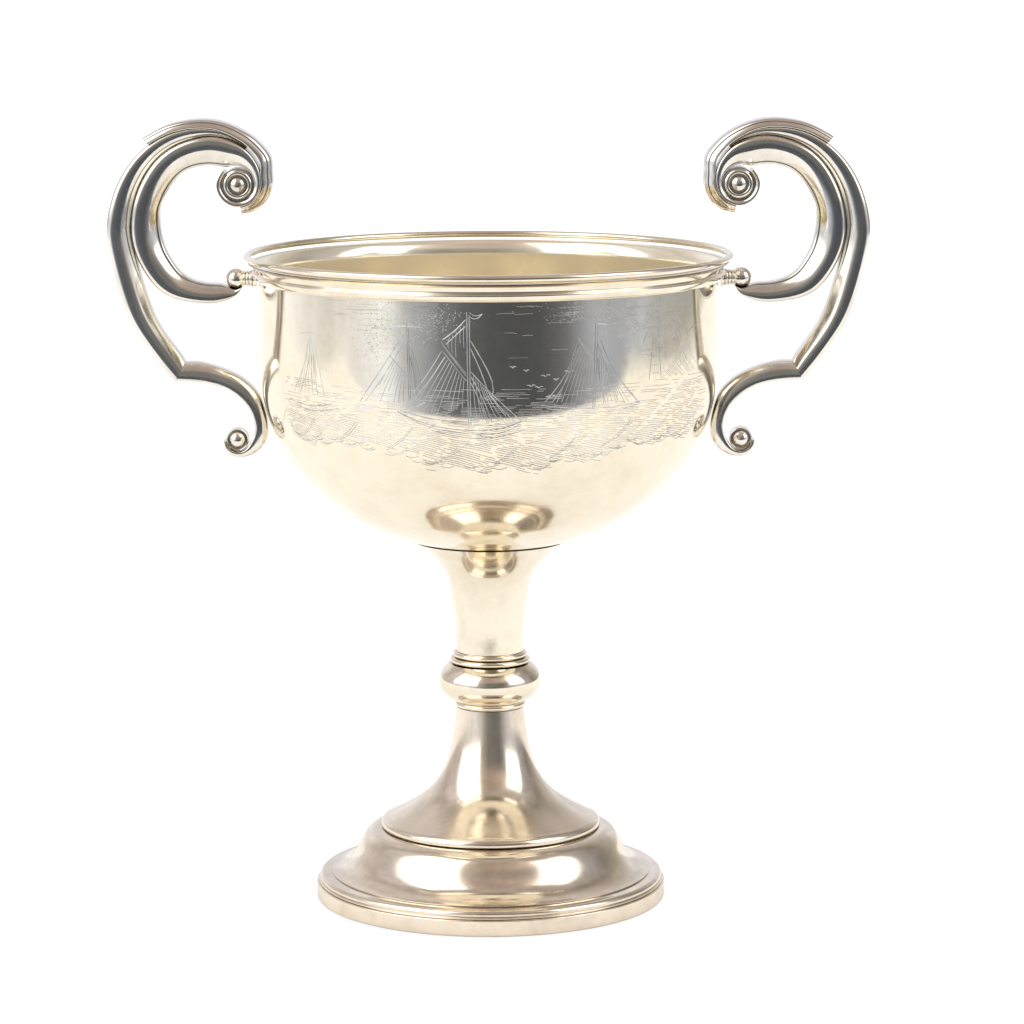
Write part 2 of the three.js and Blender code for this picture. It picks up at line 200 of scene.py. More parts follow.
glow_share = wire(paint, "ShaderNodeMath", to_lens, 0.85, operation="MULTIPLY")
surface = wire(paint, "ShaderNodeMixShader", glow_share, matt, glow)
table_out = paint.nodes.new("ShaderNodeOutputMaterial")
paint.links.new(surface, table_out.inputs["Surface"])
table.data.materials.append(pale)

# Foot band: the plain upright band that the cup stands on. Polished silver wire of flat
# section, bent round and soldered, its corners rubbed round by years of cleaning.


def silver(name, bright, tarnished, polish, turned):
    """Polished silver: clouded by tarnish, darker in its joints, with dents and polishing marks.

    A turned piece has its marks round it in rings."""
    material = bpy.data.materials.new(name)
    material.use_nodes = True
    tree = material.node_tree
    metal = tree.nodes["Principled BSDF"]
    metal.inputs["Metallic"].default_value = 1.0
    place = tree.nodes.new("ShaderNodeTexCoord").outputs["Object"]
    cloud = wire(tree, "ShaderNodeTexNoise", place, None, 48.0, 9.0, 0.74)
    cloudy = wire(tree, "ShaderNodeMapRange", cloud, 0.44, 0.76, 0.0, 0.5)
    shelter = tree.nodes.new("ShaderNodeAmbientOcclusion")
    shelter.samples = 6
    shelter.inputs["Distance"].default_value = 0.0018
    joint = wire(tree, "ShaderNodeMapRange", shelter.outputs["AO"], 0.2, 0.75, 0.85, 0.0)
    dull = wire(tree, "ShaderNodeMath", cloudy, joint, operation="MAXIMUM")
    tree.links.new(lay_over(tree, dull, bright, tarnished), metal.inputs["Base Color"])
    haze = wire(tree, "ShaderNodeTexNoise", place, None, 420.0, 4.0)
    rough = wire(tree, "ShaderNodeMapRange", haze, 0.3, 0.75, polish, polish + 0.06)
    rough = wire(tree, "ShaderNodeMath", dull, 0.14, rough, operation="MULTIPLY_ADD")
    tree.links.new(rough, metal.inputs["Roughness"])
    if turned:
        parts = tree.nodes.new("ShaderNodeSeparateXYZ")
        tree.links.new(place, parts.inputs[0])
        x, y, z = parts.outputs
        square = wire(tree, "ShaderNodeMath", x, x, operation="MULTIPLY")
        square = wire(tree, "ShaderNodeMath", y, y, square, operation="MULTIPLY_ADD")
        radius = wire(tree, "ShaderNodeMath", square, operation="SQRT")
        rings = wire(tree, "ShaderNodeCombineXYZ", radius, z)
        marks = wire(tree, "ShaderNodeTexNoise", rings, None, 1400.0, 3.0)
    else:
        marks = wire(tree, "ShaderNodeTexNoise", place, None, 900.0, 3.0)
    dents = wire(tree, "ShaderNodeTexNoise", place, None, 62.0, 1.0)
    surface = wire(tree, "ShaderNodeBump", 0.5, 0.00009, None, dents)
    surface = wire(tree, "ShaderNodeBump", 0.25, 0.000006, None, marks, surface)
    tree.links.new(surface, metal.inputs["Normal"])
    return material


mm = 0.001
foot_steps = 240
foot_silver = silver("worn_foot_silver", (0.92, 0.82, 0.68), (0.4, 0.32, 0.24), 0.11, True)


def turn(outline, steps, centre=(0, 0, 0), axis=(0, 0, 1)):
    """Extrude a point along a closed outline of (out, along) millimetres, and spin it round an axis."""
    bpy.ops.object.select_all(action="DESELECT")
    bpy.ops.mesh.primitive_plane_add(size=0.001)
    bpy.ops.object.mode_set(mode="EDIT")
    bpy.ops.mesh.select_mode(type="VERT")
    bpy.ops.mesh.select_all(action="SELECT")
    bpy.ops.mesh.merge(type="CENTER")
    if axis[2]:
        places = [Vector((out, 0, up)) * mm for out, up in outline]
    elif axis[1]:
        places = [Vector((out, along, 0)) * mm for out, along in outline]
    else:
        places = [Vector((along, 0, out)) * mm for out, along in outline]
    places = [place + Vector(centre) for place in places]
    bpy.ops.transform.translate(value=places[0])
    for here, there in zip(places, places[1:] + places[:1]):
        bpy.ops.mesh.extrude_vertices_move(TRANSFORM_OT_translate={"value": there - here})
    bpy.ops.mesh.select_all(action="SELECT")
    bpy.ops.mesh.spin(steps=steps, angle=math.tau, center=centre, axis=axis)
    bpy.ops.mesh.select_all(action="SELECT")
    bpy.ops.mesh.remove_doubles(threshold=0.000004)
    bpy.ops.mesh.normals_make_consistent(inside=False)
    bpy.ops.object.mode_set(mode="OBJECT")
    return bpy.context.object


def finish_piece(piece, name, material, node):
    """Name, smooth and polish a piece, and let it stand for its CAD node."""
    piece.name = piece.data.name = name
    bpy.ops.object.select_all(action="DESELECT")
    piece.select_set(True)
    bpy.context.view_layer.objects.active = piece
    bpy.ops.object.shade_smooth_by_angle(angle=math.radians(32))
    piece.data.materials.clear()
    piece.data.materials.append(material)
    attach(piece, "root")
    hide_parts(node)
    return piece


def corner(out, up, radius, start, end, steps=5):
    """Points round a rounded corner, from one angle to another in degrees."""
    angles = np.radians(np.linspace(start, end, steps))
    return [(out + radius * math.cos(a), up + radius * math.sin(a)) for a in angles]


def extent(node):
    """Outer radius, base and top of a turned CAD node, in millimetres."""
    low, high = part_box(node)
    return high.x * 1000, low.z * 1000, high.z * 1000


joint_close = 0.22  # how far a piece reaches over the gap to the piece above it
band_radius, band_base, band_top = extent("foot_band")
band_wall = 2.6
band_outline = [
    (band_radius - band_wall, band_base),
    *corner(band_radius - 0.35, band_base + 0.35, 0.35, -90, 0),
    *corner(band_radius - 0.3, band_top + joint_close - 0.3, 0.3, 0, 90),
    (band_radius - band_wall, band_top + joint_close),
]
finish_piece(turn(band_outline, foot_steps), "polished_foot_band", foot_silver, "foot_band")

# Foot moulding: a drawn half-round wire, stepped in a little on the band, with a small fillet
# along its lower edge. It hides the seam between the band and the raised dome.
roll_radius, roll_base, roll_top = extent("foot_moulding")
dome_radius, dome_base, dome_top = extent("foot_dome")
roll_top += joint_close
roll_outline = [
    (dome_radius - 1.0, roll_base),
    (roll_radius - 0.15, roll_base),
    *corner(roll_radius - 0.35, roll_base + 0.35, 0.35, -60, 60),
    (roll_radius - 0.55, roll_base + 0.75),
    *corner(roll_radius - 1.75, roll_base + 1.3, 1.35, -18, 90, 12),
    (dome_radius + 0.9, roll_top - 0.15),
    (dome_radius + 0.4, roll_top),
    (dome_radius - 1.0, roll_top),
]
finish_piece(turn(roll_outline, foot_steps), "polished_foot_moulding", foot_silver, "foot_moulding")

# Foot dome: sheet silver spun into an ogee, a cove that sweeps up into a round shoulder, with
# a flat seat on top for the trumpet.


def bent_line(places, points, at):
    """Points at the places asked for, along a thin batten bent through the given points."""
    places, points, at = (np.asarray(values, float) for values in (places, points, at))
    gaps = np.diff(places)
    weights, pull = np.eye(len(places)), np.zeros_like(points)
    for i in range(1, len(places) - 1):
        weights[i, i - 1 : i + 2] = gaps[i - 1], 2 * (gaps[i - 1] + gaps[i]), gaps[i]
        slope_in = (points[i] - points[i - 1]) / gaps[i - 1]
        slope_out = (points[i + 1] - points[i]) / gaps[i]
        pull[i] = 6 * (slope_out - slope_in)
    bend = np.linalg.solve(weights, pull)
    i = np.clip(np.searchsorted(places, at) - 1, 0, len(gaps) - 1)
    gap = gaps[i][:, None]
    a, b = (places[i + 1] - at)[:, None] / gap, (at - places[i])[:, None] / gap
    sag = ((a**3 - a) * bend[i] + (b**3 - b) * bend[i + 1]) * gap**2 / 6
    return a * points[i] + b * points[i + 1] + sag


def smooth_line(points, count):
    """An evenly drawn smooth line through points."""
    lengths = np.linalg.norm(np.diff(np.asarray(points, float), axis=0), axis=1)
    places = np.concatenate([[0], np.cumsum(lengths)])
    return [tuple(p) for p in bent_line(places, points, np.linspace(0, places[-1], count))]


def raised_wall(line, sheet):
    """A closed outline: an outer line drawn upwards, and its inner face one sheet behind it."""
    points = np.array(line, float)
    along = np.gradient(points, axis=0)
    along /= np.maximum(np.linalg.norm(along, axis=1), 1e-9)[:, None]
    inner = points + sheet * np.stack([-along[:, 1], along[:, 0]], axis=1)
    inner[:, 1] = np.clip(inner[:, 1], points[0, 1], points[-1, 1])
    inner[:, 0] = np.maximum(inner[:, 0], 0)
    return [tuple(p) for p in points] + [tuple(p) for p in inner[::-1]]


def bezier(p0, p1, p2, p3, count):
    """Points on a curve with two handles."""
    curve = []
    for t in np.linspace(0, 1, count):
        weights = ((1 - t) ** 3, 3 * t * (1 - t) ** 2, 3 * t * t * (1 - t), t**3)
        curve.append(tuple(sum(w * p[k] for w, p in zip(weights, (p0, p1, p2, p3))) for k in (0, 1)))
    return curve


trumpet_radius, trumpet_base, trumpet_top = extent("trumpet_foot")
span, rise = dome_radius - trumpet_radius, dome_top - dome_base
seat = 2.3
dome_line = [
    (dome_radius, dome_base),
    *bezier(
        (dome_radius, dome_base + 0.4),
        (trumpet_radius + 0.25 * span, dome_base + 0.2 * rise),
        (trumpet_radius + 0.62 * span, dome_top - 0.08 * rise),
        (trumpet_radius + 0.3, dome_top),
        40,
    ),
    (trumpet_radius - seat, dome_top),
]
dome_outline = raised_wall(dome_line, 1.0)
finish_piece(turn(dome_outline, foot_steps), "polished_foot_dome", foot_silver, "foot_dome")

# Trumpet foot: one raised cone that flares down to a rolled lip, where it is soldered to the
# seat on the dome.
stem_radius = 10.3
run, height = trumpet_radius - stem_radius, trumpet_top - trumpet_base
flare = [
    (trumpet_radius - 1.8, trumpet_base + 2.8),
    *[
        (stem_radius + out * run, trumpet_base + up * height)
        for out, up in ((0.58, 0.195), (0.37, 0.298), (0.19, 0.453), (0.058, 0.71), (0.012, 0.93))
    ],
    (stem_radius, trumpet_top + joint_close),
]
trumpet_line = [
    *corner(trumpet_radius - 0.3, trumpet_base + 0.3, 0.3, -80, 0, 4),
    *bezier(
        (trumpet_radius, trumpet_base + 0.7),
        (trumpet_radius, trumpet_base + 1.7),
        (trumpet_radius - 0.7, trumpet_base + 2.4),
        (trumpet_radius - 1.8, trumpet_base + 2.8),
        10,
    ),
    *smooth_line(flare, 80)[1:],
]
trumpet_outline = raised_wall(trumpet_line, 0.95)
finish_piece(turn(trumpet_outline, 224), "polished_trumpet_foot", foot_silver, "trumpet_foot")

# Collars and knop: turned rings threaded on the stem and soldered. The knop is a flattened
# hollow ball, and the collars are half-round wire.


def collar(node, bore):
    """A half-round ring with a rounded face, filling the height between its neighbours."""
    radius, base, top = extent(node)
    half = (top + joint_close - base) / 2
    return [
        (bore, base),
        (radius - half, base),
        *corner(radius - half, base + half, half, -90, 90, 15),
        (radius - half, base + 2 * half),
        (bore, base + 2 * half),
    ]


polished = silver("polished_silver", (0.95, 0.87, 0.72), (0.56, 0.46, 0.32), 0.07, True)
bore = 8.0
for node in ("lower_collar", "wide_collar", "narrow_collar"):
    ring = turn(collar(node, bore), 160)
    finish_piece(ring, "polished_" + node, polished, node)
knop_radius, knop_base, knop_top = extent("knop")
knop_centre, knop_half = knop_base + 6.2, 8.9
knop_from = -math.asin((knop_centre - knop_base) / knop_half)
knop_to = math.asin((knop_top - knop_centre) / knop_half)
knop_outline = [
    (knop_radius * math.cos(a), knop_centre + knop_half * math.sin(a))
    for a in np.linspace(knop_from, knop_to, 34)
]
knop_outline = [(bore, knop_base), *knop_outline, (bore, knop_top + joint_close)]
finish_piece(turn(knop_outline, 192), "polished_knop", polished, "knop")

# Upper stem: a raised tube that stands in the collars, flares out under the bowl and is soldered
# to it along a thin edge.
flare_radius, stem_base, stem_top = extent("upper_stem")
run, height = flare_radius - stem_radius, stem_top - stem_base
stem_line = [
    (stem_radius, stem_base),
    (stem_radius, stem_base + 0.05 * height),
    *[
        (stem_radius + out * run, stem_base + up * height)
        for out, up in (
            (0.0, 0.1), (0.02, 0.3), (0.1, 0.5), (0.256, 0.717), (0.48, 0.83), (0.713, 0.915), (1.0, 1.0),
        )
    ],
]
stem_outline = raised_wall(smooth_line(stem_line, 90), 0.95)
finish_piece(turn(stem_outline, 208), "polished_upper_stem", polished, "upper_stem")

# Bowl: one sheet raised by hammer into a deep round-bottomed cup with an upright wall and a
# turned-out lip. It is polished outside, and left satin and a little golden inside.
bowl_radius, bowl_depth = 69.7, 55.3
wall_base = stem_top + 0.3 + bowl_depth * math.sqrt(1 - (flare_radius / bowl_radius) ** 2)
band_low = wall_base + 28.0
lip_top = band_low + 5.3
bowl_line = [
    (bowl_radius * math.sin(a), wall_base - bowl_depth * math.cos(a))
    for a in np.linspace(0, math.pi / 2, 90)
]
bowl_line += [(bowl_radius, z) for z in np.linspace(wall_base, band_low + 1, 24)[1:]]
bowl_line += bezier(
    (bowl_radius, band_low + 1), (bowl_radius, band_low + 3), (bowl_radius + 1.2, lip_top - 0.6),
    (bowl_radius + 2.6, lip_top), 10,
)[1:]
bowl_line = np.array(bowl_line)
for _ in range(60):  # planished, so that the curve runs into the wall without a break
    bowl_line[40:-14] = (bowl_line[39:-15] + 2 * bowl_line[40:-14] + bowl_line[41:-13]) / 4
bowl_line[0, 0] = 0
bowl_outline = raised_wall([tuple(p) for p in bowl_line], 1.0)
bowl_outline[-1] = (0, bowl_outline[-1][1])
bowl_silver = silver("bowl_silver", (0.96, 0.88, 0.72), (0.66, 0.57, 0.42), 0.06, False)
bowl_steps = 256
bowl = turn(bowl_outline, bowl_steps)
finish_piece(bowl, "engraved_bowl", bowl_silver, "bowl")
satin = silver("satin_inside", (1.0, 0.93, 0.77), (0.92, 0.79, 0.58), 0.08, False)
satin.node_tree.nodes["Principled BSDF"].inputs["Metallic"].default_value = 0.78
bowl.data.materials.append(satin)
bowl_middle = Vector((0, 0, wall_base * mm))
for face in bowl.data.polygons:
    if face.normal.dot(face.center - bowl_middle) < 0:
        face.material_index = 1

# Engraving: a regatta cut by hand with a graver into the front of the bowl. Each cut throws up a
# thin bright burr, drawn here as a long pointed sliver just proud of the wall. There are
# thousands of them, so they are laid straight into one mesh for each part of the view.
cut_silver = bpy.data.materials.new("bright_cut_silver")
cut_silver.use_nodes = True
cut_tree = cut_silver.node_tree
cut_metal = cut_tree.nodes["Principled BSDF"]
cut_metal.inputs["Metallic"].default_value = 1.0
cut_place = cut_tree.nodes.new("ShaderNodeTexCoord").outputs["Object"]
cut_cloud = wire(cut_tree, "ShaderNodeTexNoise", cut_place, None, 160.0)
cut_share = wire(cut_tree, "ShaderNodeMapRange", cut_cloud, 0.35, 0.65, 0.0, 1.0)
cut_tint = lay_over(cut_tree, cut_share, (0.4, 0.4, 0.4), (0.64, 0.64, 0.63))
cut_rough = wire(cut_tree, "ShaderNodeMapRange", cut_cloud, 0.0, 1.0, 0.3, 0.5)
cut_tree.links.new(cut_tint, cut_metal.inputs["Base Color"])
cut_tree.links.new(cut_rough, cut_metal.inputs["Roughness"])
hand = random.Random(12)
broad, middling, fine = 0.46, 0.34, 0.24  # widths of the cuts
ridge_height, root_depth = 0.055, 0.03  # of a sliver, above and under the wall


def on_wall(along, up, proud):
    """A place on the bowl: millimetres round from the front, height, and lift off the wall."""
    out = np.interp(up, bowl_line[:, 1], bowl_line[:, 0]) + proud
    angle = along / bowl_radius
    return (mm * out * math.sin(angle), -mm * out * math.cos(angle), mm * up)


def cut(points, width):
    """One cut through (along, up) points: it swells to its width and tapers to both ends."""
    points = np.array(points, float)
    gaps = np.linalg.norm(np.diff(points, axis=0), axis=1)
    places = np.concatenate([[0], np.cumsum(gaps)])
    count = 3 if places[-1] < 1.2 else 5 + int(places[-1] / 3.2)
    at = places[-1] * (1 - np.cos(np.linspace(0, math.pi, count))) / 2
    line = bent_line(places, points, at)
    ahead = np.gradient(line, axis=0)
    ahead /= np.linalg.norm(ahead, axis=1)[:, None]
    side = np.stack([-ahead[:, 1], ahead[:, 0]], axis=1) * width / 2
    first = len(corners)
    corners.append(on_wall(*line[0], -0.01))
    for middle, edge in zip(line[1:-1], side[1:-1]):
        corners.append(on_wall(*(middle - edge), -root_depth))
        corners.append(on_wall(*middle, ridge_height))
        corners.append(on_wall(*(middle + edge), -root_depth))
    corners.append(on_wall(*line[-1], -0.01))
    last = len(corners) - 1
    for here, there in ((0, 1), (1, 2), (2, 0)):
        faces.append((first, first + 1 + there, first + 1 + here))
        for ring in range(first + 1, last - 3, 3):
            faces.append((ring + here, ring + there, ring + 3 + there, ring + 3 + here))
        faces.append((last, last - 3 + here, last - 3 + there))


def finish_engraving(name):
    """Make a mesh of the cuts laid down since the last one."""
    mesh = bpy.data.meshes.new(name)
    mesh.from_pydata(corners, [], faces)
    piece = bpy.data.objects.new(name, mesh)
    bpy.context.scene.collection.objects.link(piece)
    bpy.ops.object.select_all(action="DESELECT")
    piece.select_set(True)
    bpy.context.view_layer.objects.active = piece
    bpy.ops.object.mode_set(mode="EDIT")
    bpy.ops.mesh.select_all(action="SELECT")
    bpy.ops.mesh.normals_make_consistent(inside=False)
    bpy.ops.object.mode_set(mode="OBJECT")
    mesh.materials.append(cut_silver)
    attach(piece, "root")
    corners.clear()
    faces.clear()


def fan(top, foot, count, width, broken=0.0):
    """Sail seams: cuts spread evenly from one edge to another, some broken part of the way."""
    for i in range(count):
        share = (i + 0.5) / count
        start = [a + (b - a) * share for a, b in zip(*top)]
        end = [a + (b - a) * share for a, b in zip(*foot)]
        bow = [(a + b) / 2 - 0.35 for a, b in zip(start, end)]
        if hand.random() < broken:
            part = hand.uniform(0.45, 0.85)
            end = [a + (b - a) * part for a, b in zip(start, end)]
            bow = [(a + b) / 2 - 0.15 for a, b in zip(start, end)]
        cut([start, bow, end], width)


corners, faces = [], []
# The large cutter in the middle: mast, pennant, topsail, gaffs, mainsail, jibs and hull.
for mast in ((-5.9, 188.8, -5.6, 155.6), (-5.2, 188.0, -4.9, 155.6)):
    cut([mast[:2], mast[2:]], broad)
cut([(-5.4, 188.7), (-3.6, 187.5), (-1.3, 188.2)], middling)
cut([(-5.4, 187.4), (-3.4, 186.6), (-1.3, 188.2)], middling)
cut([(-6.1, 186.6), (-9.6, 183.0), (-13.2, 180.4)], broad)
cut([(-6.2, 184.6), (-12.2, 179.0)], middling)
fan([(-11.4, 180.9), (-6.2, 185.4)], [(-11.8, 178.4), (-6.2, 172.0)], 5, fine, 0.4)
for gaff in ((-13.6, 180.3, -6.0, 170.6), (-13.2, 179.5, -6.0, 169.9), (-13.2, 177.6, -6.0, 168.6)):
    cut([gaff[:2], gaff[2:]], broad)
cut([(-13.2, 177.4), (-18.1, 169.6), (-26.3, 159.9)], broad)
cut([(-12.2, 175.8), (-17.2, 168.4), (-24.6, 159.6)], middling)
fan([(-12.4, 176.2), (-6.4, 169.0)], [(-23.6, 159.2), (-6.6, 156.8)], 9, fine, 0.35)
cut([(-26.6, 159.8), (-17.0, 157.6), (-5.6, 156.7)], broad)
cut([(-5.0, 180.6), (-0.4, 172.6), (1.6, 166.6), (1.4, 164.2)], broad)
cut([(-5.0, 178.4), (-1.6, 170.6), (0.2, 165.4)], middling)
cut([(-5.0, 171.6), (1.6, 164.6), (9.9, 156.9)], broad)
cut([(-4.9, 170.2), (-1.2, 163.2), (1.4, 156.3)], broad)
cut([(-4.9, 168.4), (-1.8, 161.4), (-0.2, 156.0)], middling)
fan([(-4.4, 170.6), (0.6, 165.2)], [(-3.6, 156.4), (9.0, 156.6)], 8, fine, 0.25)
cut([(-27.4, 159.5), (-18.0, 155.9), (-5.5, 154.2), (4.0, 154.8), (10.4, 157.0)], broad)
cut([(-26.6, 159.0), (-17.0, 154.9), (-5.0, 153.2), (5.0, 153.8), (9.6, 156.0)], middling)
cut([(-14.0, 157.0), (-4.0, 155.8), (7.4, 156.2)], middling)
cut([(-17.2, 154.2), (-6.0, 152.0), (3.0, 152.3), (11.0, 154.2)], middling)
for i in range(7):
    cut([(-4.4 + i * 0.35, 156.6), (-5.4 + i * 0.5, 159.6)], fine)
# The second yacht, on the left.
for mast in ((-23.8, 185.3, -23.2, 162.6), (-23.2, 184.0, -22.7, 162.6)):
    cut([mast[:2], mast[2:]], middling)
cut([(-28.4, 183.8), (-23.6, 184.2), (-18.4, 183.8)], middling)
cut([(-24.2, 182.8), (-28.8, 175.8), (-39.6, 161.2)], broad)
cut([(-24.0, 180.6), (-28.2, 173.6), (-37.8, 161.2)], middling)
cut([(-29.4, 175.9), (-23.6, 169.6)], broad)
fan([(-28.2, 174.8), (-23.8, 170.4)], [(-36.4, 161.6), (-24.2, 161.4)], 8, fine, 0.3)
cut([(-22.8, 178.4), (-19.9, 170.4), (-19.4, 166.4)], middling)
cut([(-22.8, 175.4), (-21.2, 168.4), (-20.8, 163.6)], middling)
fan([(-22.6, 177.4), (-20.4, 171.4)], [(-22.2, 163.4), (-18.4, 164.4)], 4, fine)
cut([(-41.4, 161.0), (-31.0, 159.9), (-22.0, 160.6), (-18.0, 162.4)], broad)
cut([(-40.4, 160.2), (-30.0, 158.8), (-21.0, 159.4)], middling)
# The third yacht, on the right.
for mast in ((32.4, 185.0, 31.6, 159.6), (33.1, 184.0, 32.2, 159.8)):
    cut([mast[:2], mast[2:]], middling)
cut([(33.0, 184.4), (36.4, 183.9)], middling)
for gaff in ((26.4, 181.0, 32.0, 174.0), (26.8, 180.2, 32.0, 173.2)):
    cut([gaff[:2], gaff[2:]], middling)
cut([(26.5, 180.4), (23.4, 171.2), (16.4, 162.0)], broad)
cut([(27.1, 179.2), (24.4, 170.8), (18.6, 161.8)], middling)
fan([(27.4, 179.0), (31.6, 173.6)], [(19.4, 161.8), (31.0, 161.2)], 8, fine, 0.2)
cut([(33.2, 181.6), (38.4, 170.6), (47.4, 160.8)], broad)
cut([(33.0, 178.6), (36.2, 170.6), (40.2, 161.2)], middling)
cut([(33.0, 174.6), (33.8, 167.6), (36.0, 160.8)], middling)
fan([(33.4, 176.0), (37.6, 171.0)], [(33.0, 160.6), (45.0, 160.6)], 8, fine, 0.3)
cut([(15.4, 161.4), (25.0, 160.2), (36.0, 159.8), (48.4, 160.6)], broad)
cut([(17.0, 160.4), (28.0, 158.9), (40.0, 158.8), (47.0, 159.8)], middling)
# The small yacht far round on the left, the lighthouse on its rock, and the gulls.
cut([(-58.4, 180.0), (-58.0, 162.2)], middling)
cut([(-63.8, 179.6), (-58.4, 180.2), (-53.0, 179.4)], fine)
for lean, foot in ((-3.2, -9.6), (-1.4, -6.4), (1.2, 2.2), (3.0, 5.2)):
    cut([(-58.4 + lean * 0.3, 178.8), (-58.2 + lean, 171.4), (-58.0 + foot, 161.8)], middling)
fan([(-60.6, 174.0), (-56.4, 174.0)], [(-66.0, 161.8), (-54.4, 161.8)], 7, fine, 0.2)
cut([(-70.6, 159.6), (-60.0, 158.6), (-49.0, 160.2)], middling)
cut([(-68.0, 158.2), (-58.0, 157.2), (-47.0, 159.0)], middling)
for side, foot in ((53.2, 51.6), (55.6, 56.8)):
    cut([(side, 178.2), (foot, 166.4)], middling)
for up in (168.6, 171.0, 173.4, 175.8):
    cut([(52.6, up), (55.8, up - 0.2)], fine)
cut([(52.4, 178.4), (54.4, 178.0), (56.4, 178.4)], middling)
cut([(53.0, 178.6), (54.4, 181.6), (55.8, 178.6)], middling)
cut([(49.0, 177.4), (51.4, 181.4), (56.0, 184.2)], fine)
fan([(58.0, 168.6), (70.0, 178.0)], [(63.0, 165.8), (78.0, 168.0)], 26, fine, 0.5)
cut([(57.0, 166.4), (63.0, 171.6), (69.0, 178.6), (76.0, 181.0)], middling)
for along, up, wing in (
    (7.3, 172.3, 1.0), (11.2, 171.2, 0.9), (16.8, 169.6, 1.5), (24.0, 170.6, 1.6), (20.0, 168.4, 0.9),
    (12.6, 166.8, 1.3), (14.9, 166.3, 1.2), (18.4, 163.4, 1.5),
):
    cut([(along - wing, up + 0.5), (along - wing * 0.5, up + 0.6), (along, up)], middling)
    cut([(along, up), (along + wing * 0.5, up + 0.7), (along + wing, up + 0.4)], middling)
finish_engraving("engraved_yachts")

# The sky: long thin bars of cloud, with stippled banks on both sides of the large cutter.
for along, up, length, count in (
    (-43, 189, 12, 9), (-20, 189.4, 9, 6), (8, 188.6, 9, 4), (22, 186.6, 12, 7), (42, 187.4, 11, 8),
    (46, 182.6, 8, 6), (48, 175.6, 9, 6), (6, 181.8, 7, 2), (14, 176.2, 7, 2), (-38, 183.4, 10, 6),
    (62, 185.6, 8, 5), (-50, 186.0, 9, 5),
):
    for _ in range(count):
        start, height = along + hand.gauss(0, 3.4), up + hand.gauss(0, 1.3)
        reach = length * hand.uniform(0.35, 1.0)
        cut([(start, height), (start + reach / 2, height + hand.uniform(-0.2, 0.3)),
             (start + reach, height + hand.uniform(-0.2, 0.2))], 0.17)
for along, up, wide, tall, count in (
    (-27, 185, 7.0, 3.4, 900), (-33, 178, 4.5, 3.2, 260), (45, 185.5, 6.0, 3.0, 900),
    (30, 187.6, 7, 1.6, 240), (-14, 187.0, 4.0, 1.8, 90), (62, 181.0, 4.5, 3.0, 170),
):
    for _ in range(count):
        dot = (along + hand.gauss(0, wide), min(up + hand.gauss(0, tall), 190.8))
        slant, reach = hand.uniform(-0.9, 0.9), hand.uniform(0.25, 0.8)
        step = (reach * math.cos(slant) / 2, reach * math.sin(slant) / 2)
        cut([(dot[0] - step[0], dot[1] - step[1]), dot, (dot[0] + step[0], dot[1] + step[1])], 0.27)
finish_engraving("engraved_sky")

# The sea: flat ripples to the horizon, then rolling waves shaded by rows of curved cuts that
# fall away from each crest, and a bright broken edge along the bottom.
wave_long = 17.0
for row in range(50):
    level = 166.2 - row * 0.5
    near = min(1, max(0, (160 - level) / 14))
    roll_high = 0.12 + 1.6 * near
    along = -74.0 + hand.uniform(0, 3)
    while along < 78:
        phase = ((along - 1.4 * (level - 142)) / wave_long) % 1
        reach = min(hand.uniform(5, 12), max(2.2, (0.93 - phase) * wave_long))
        floor_edge = 141.6 + 6.5 * min(1, abs(along - 2) / 42) ** 1.6 + 0.9 * math.sin(along * 0.7)
        sparse = 0.4 if level > 161 else 0.05
        if phase < 0.9 and level > floor_edge and hand.random() > sparse:
            stroke = []
            for share in (0, 0.33, 0.67, 1):
                fall = math.cos(math.pi * min(1, phase + share * reach / wave_long))
                stroke.append((along + share * reach, level + roll_high * fall + hand.gauss(0, 0.05)))
            cut(stroke, fine + 0.06 * near)
        along += reach + hand.uniform(0.3, 1.2 + 1.6 * (1 - near))
for crest in range(-5, 5):
    foot = crest * wave_long + 1.5
    for shift in (0.0, 0.7):
        rise = hand.uniform(7.0, 11.0)
        low_end = 143.5 + 5.5 * min(1, abs(foot) / 42) ** 1.6 + shift
        line = [
            (foot + shift * 0.8, low_end), (foot + 0.5 * rise, low_end + 0.25 * rise),
            (foot + 1.0 * rise, low_end + 0.7 * rise),
        ]
        cut(line, fine)
for _ in range(60):
    along = hand.uniform(-70, 74)
    edge_up = 141.9 + 6.5 * min(1, abs(along - 2) / 42) ** 1.6 + 0.9 * math.sin(along * 0.7)
    cut([(along - 2.2, edge_up + 0.3), (along, edge_up - 0.3), (along + 2.6, edge_up + 0.5)], middling)
finish_engraving("engraved_sea")

